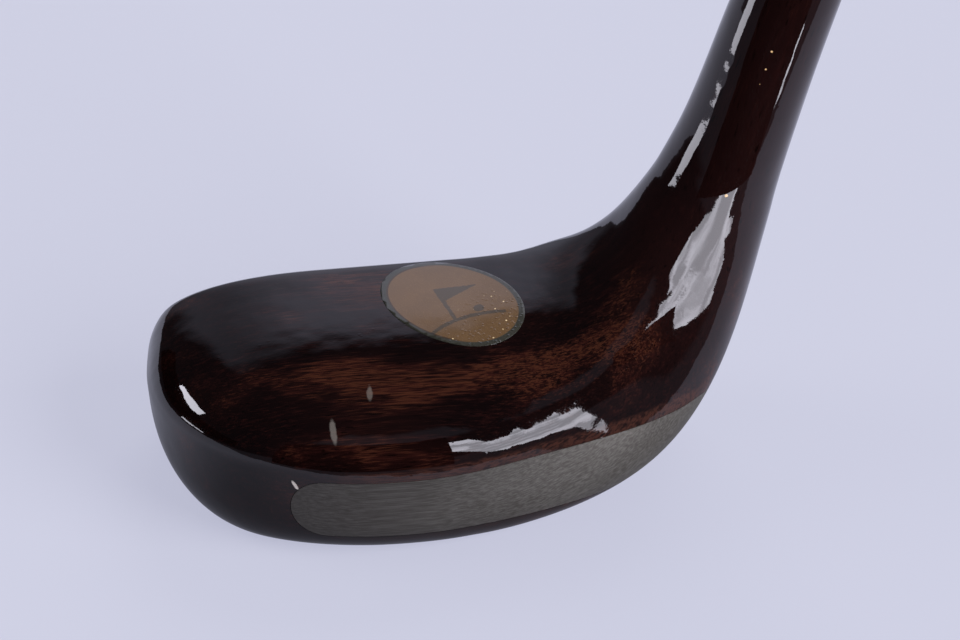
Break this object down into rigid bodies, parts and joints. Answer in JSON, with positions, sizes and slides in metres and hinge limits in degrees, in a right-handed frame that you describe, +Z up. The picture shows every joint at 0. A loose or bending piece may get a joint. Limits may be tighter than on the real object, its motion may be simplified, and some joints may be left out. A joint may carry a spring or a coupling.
{
  "type": "golf driver",
  "caption": "Left-handed wooden golf driver: a lead-weighted socket head with a swept neck, on a tapered hickory shaft with a wrapped leather grip.",
  "frame": {"origin": "on the flat of the sole, below the head's long axis, 35 mm from where the shaft's axis meets the ground", "axes": "+Z up from the sole at address, +Y the way the face looks, +X from toe to heel, with the shaft's axis in the plane Y = 0"},
  "size_m": [0.4583, 0.0556, 1.0329],
  "materials": {
    "head_wood": "dark stained hardwood under thick gloss lacquer",
    "lead": "dull grey lead, filed flush and lightly brushed",
    "fibre": "black vulcanised fibre, filed smooth",
    "brass": "aged brass",
    "horn": "polished dark horn",
    "peg_wood": "end grain",
    "transfer": "gilt transfer under lacquer",
    "hickory": "oiled and varnished straight grain",
    "thread": "waxed linen thread",
    "cloth": "woven listing",
    "leather": "worn suede-side calf, spirally wrapped"
  },
  "bodies": {
    "root": {"head": "head_wood", "back_weight": "lead", "face_insert": "fibre", "insert_screw_1": "brass", "insert_screw_2": "brass", "insert_screw_3": "brass", "insert_screw_4": "brass", "sole_slip": "horn", "slip_peg_1": "peg_wood", "slip_peg_2": "peg_wood", "slip_peg_3": "peg_wood", "crown_transfer": "transfer", "shaft": "hickory", "neck_whipping": "thread", "grip_underlisting": "cloth", "grip_leather": "leather", "grip_whipping_lower": "thread", "grip_whipping_upper": "thread", "grip_tack_lower": "brass", "grip_tack_upper": "brass"}
  },
  "joints": []
}
